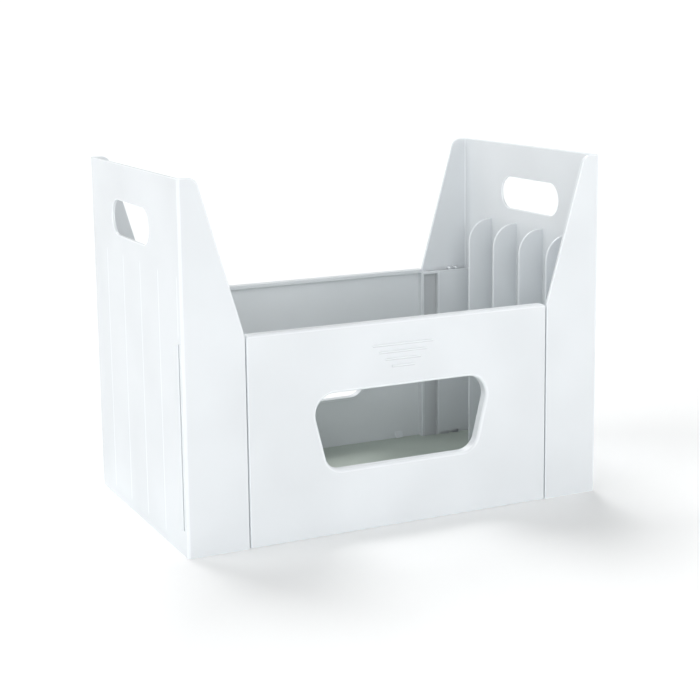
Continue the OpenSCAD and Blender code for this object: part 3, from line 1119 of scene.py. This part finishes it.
def build_floor(stage):
    """A wide pale floor just under the box."""
    bm = bmesh.new()
    bmesh.ops.create_grid(bm, x_segments=1, y_segments=1, size=FLOOR_HALF)
    mesh = bpy.data.meshes.new("floor")
    bm.to_mesh(mesh)
    bm.free()
    floor = bpy.data.objects.new("floor", mesh)
    floor.location.z = CAD_BOX[0].z - FLOOR_GAP
    floor.data.materials.append(opal_acrylic("opal_acrylic_floor", stage.floor_colour))
    bpy.context.scene.collection.objects.link(floor)


def build_surround(stage):
    """A white band round the horizon, as from the walls of a light tent, that fades overhead."""
    world = bpy.data.worlds.new("surround")
    world.use_nodes = True
    tree = world.node_tree
    background = tree.nodes["Background"]
    background.inputs["Strength"].default_value = stage.band_light
    way = add_node(tree, "ShaderNodeTexCoord").outputs["Generated"]
    height = add_node(tree, "ShaderNodeSeparateXYZ", None, {"Vector": way}).outputs["Z"]
    tree.links.new(between(tree, height, 0.04, 0.24, 1.0, 0.08), background.inputs["Color"])
    bpy.context.scene.world = world


def direction(azimuth, elevation):
    """Unit vector from the box towards a place round and above it."""
    level = math.cos(elevation)
    return Vector((math.sin(azimuth) * level, -math.cos(azimuth) * level, math.sin(elevation)))


def soft_light(name, azimuth, elevation, power):
    """A wide, distant light from one direction, in degrees round and above the box."""
    data = bpy.data.lights.new(name, "SUN")
    data.energy = power
    data.angle = LIGHT_SPREAD
    light = bpy.data.objects.new(name, data)
    back = direction(math.radians(azimuth), math.radians(elevation))
    light.rotation_euler = back.to_track_quat("Z", "Y").to_euler()
    bpy.context.scene.collection.objects.link(light)


def build_lights():
    """Wide softboxes all round, the strongest behind the box and on its left."""
    soft_light("left_softbox", -100, 30, 1.03)
    soft_light("front_left_softbox", -60, 35, 0.35)
    soft_light("low_front_softbox", -20, 14, 0.90)
    soft_light("front_right_softbox", 42, 22, 0.92)
    soft_light("rear_softbox", 178, 50, 2.05)


def build_camera(stage):
    """A long-lens camera that looks slightly down at the front left corner."""
    aim = (CAD_BOX[0] + CAD_BOX[1]) / 2 + CAMERA_AIM
    back = direction(stage.azimuth, stage.elevation)
    data = bpy.data.cameras.new("camera")
    data.lens = stage.lens
    data.shift_x, data.shift_y = LENS_SHIFT
    data.clip_end = 100
    camera = bpy.data.objects.new("camera", data)
    turn = back.to_track_quat("Z", "Y").to_matrix().to_4x4() @ Matrix.Rotation(stage.roll, 4, "Z")
    camera.matrix_world = Matrix.Translation(aim + back * stage.distance) @ turn
    bpy.context.scene.collection.objects.link(camera)
    bpy.context.scene.camera = camera


# ---------------- add-on

OPERATORS = (HOLDER_OT_build_ends, HOLDER_OT_build_panels, HOLDER_OT_build_base, HOLDER_OT_build_stage)
SETTINGS = {
    "holder_walls": HolderWallSettings,
    "holder_ends": HolderEndSettings,
    "holder_panels": HolderPanelSettings,
    "holder_base": HolderBaseSettings,
    "holder_finish": HolderFinishSettings,
    "holder_stage": HolderStageSettings,
}


class HOLDER_PT_sidebar(bpy.types.Panel):
    """Lists the steps that build the file holder"""
    bl_idname = "HOLDER_PT_sidebar"
    bl_label = "File Holder"
    bl_space_type = "VIEW_3D"
    bl_region_type = "UI"
    bl_category = "File Holder"

    def draw(self, context):
        for operator in OPERATORS:
            self.layout.operator(operator.bl_idname)


def register():
    """Registers the settings, the operators and the panel."""
    for name, group in SETTINGS.items():
        bpy.utils.register_class(group)
        setattr(bpy.types.Scene, name, bpy.props.PointerProperty(type=group))
    for operator in OPERATORS:
        bpy.utils.register_class(operator)
    bpy.utils.register_class(HOLDER_PT_sidebar)


def unregister():
    """Removes everything that register added."""
    bpy.utils.unregister_class(HOLDER_PT_sidebar)
    for operator in reversed(OPERATORS):
        bpy.utils.unregister_class(operator)
    for name, group in reversed(list(SETTINGS.items())):
        delattr(bpy.types.Scene, name)
        bpy.utils.unregister_class(group)


def main():
    """Builds everything."""
    register()
    bpy.ops.holder.build_ends()
    bpy.ops.holder.build_panels()
    bpy.ops.holder.build_base()
    bpy.ops.holder.build_stage()
    bpy.context.view_layer.update()


if __name__ == "__main__":
    main()
